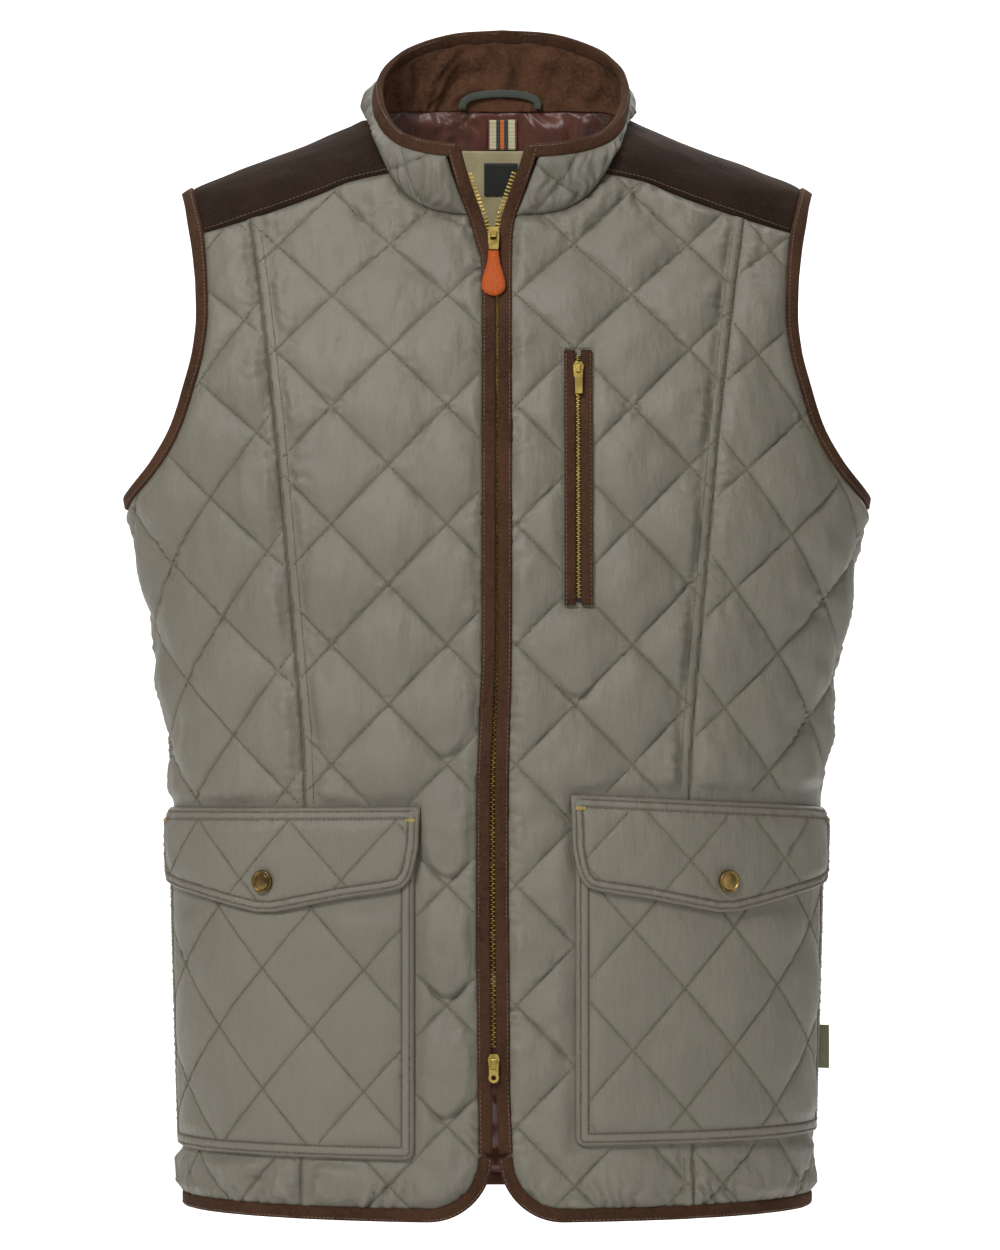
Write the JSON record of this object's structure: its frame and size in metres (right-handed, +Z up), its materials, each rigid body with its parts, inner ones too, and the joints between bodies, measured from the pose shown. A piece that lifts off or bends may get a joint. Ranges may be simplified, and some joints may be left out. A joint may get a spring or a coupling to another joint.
{
  "type": "quilted gilet",
  "caption": "Sleeveless quilted gilet with a stand collar, suede yokes and binding, flap pockets, a zipped chest pocket and a two-way front zip, shaped as worn.",
  "frame": {"origin": "middle of the wearer's shoulders, where the garment is held, level with the neck seam's mean height", "axes": "+Z up the body, -Y out of the front with the zip, +X towards the wearer's left"},
  "size_m": [0.501, 0.2466, 0.7929],
  "materials": {
    "shell": "quilted polyester shell with a soft sheen",
    "suede": "matt napped suede",
    "dark_brass": "antique",
    "brass": "worn satin",
    "zip_tape": "woven",
    "leather": "pebbled",
    "green_tape": "woven",
    "stripe": "woven",
    "cream": "woven",
    "dark_patch": "satin",
    "woven_label": "woven"
  },
  "bodies": {
    "garment": {"front_centre_R": "shell", "front_centre_L": "shell", "front_side_R": "shell", "front_side_L": "shell", "back": "shell", "collar_outer": "shell", "pocket_bag_R": "shell", "pocket_bag_L": "shell", "pocket_flap_R": "shell", "pocket_flap_L": "shell", "yoke_R": "suede", "yoke_L": "suede", "collar_facing": "suede", "collar_binding": "suede", "front_binding_R": "suede", "front_binding_L": "suede", "hem_binding": "suede", "armhole_binding_R": "suede", "armhole_binding_L": "suede", "flap_facing_R": "suede", "flap_facing_L": "suede", "chest_welt_inner": "suede", "chest_welt_outer": "suede", "pocket_snap_R": "dark_brass", "pocket_snap_L": "dark_brass", "zip_chain": "brass", "zip_teeth_R": "brass", "zip_teeth_L": "brass", "chest_zip_chain": "brass", "zip_slider": "brass", "chest_zip_slider": "brass", "zip_lower_slider": "brass", "zip_tape_R": "zip_tape", "zip_tape_L": "zip_tape", "hanger_loop": "green_tape", "neck_tape": "stripe", "neck_label": "cream", "neck_label_patch": "dark_patch", "side_label": "woven_label"},
    "top_pull": {"zip_pull": "brass", "zip_pull_tab": "leather"},
    "chest_pull": {"chest_zip_pull": "brass"},
    "lower_pull": {"zip_lower_pull": "brass"}
  },
  "joints": [
    {"name": "top_pull_hinge", "type": "hinge", "parent": "garment", "child": "top_pull", "pos_m": [-0.00222, -0.07039, -0.05785], "axis": [-1, 0, 0], "range_deg": [0, 150]},
    {"name": "chest_pull_hinge", "type": "hinge", "parent": "garment", "child": "chest_pull", "pos_m": [0.05287, -0.10674, -0.14849], "axis": [-1, 0, 0], "range_deg": [0, 150]},
    {"name": "lower_pull_hinge", "type": "hinge", "parent": "garment", "child": "lower_pull", "pos_m": [-0.00214, -0.12661, -0.59694], "axis": [-1, 0, 0], "range_deg": [0, 150]}
  ]
}
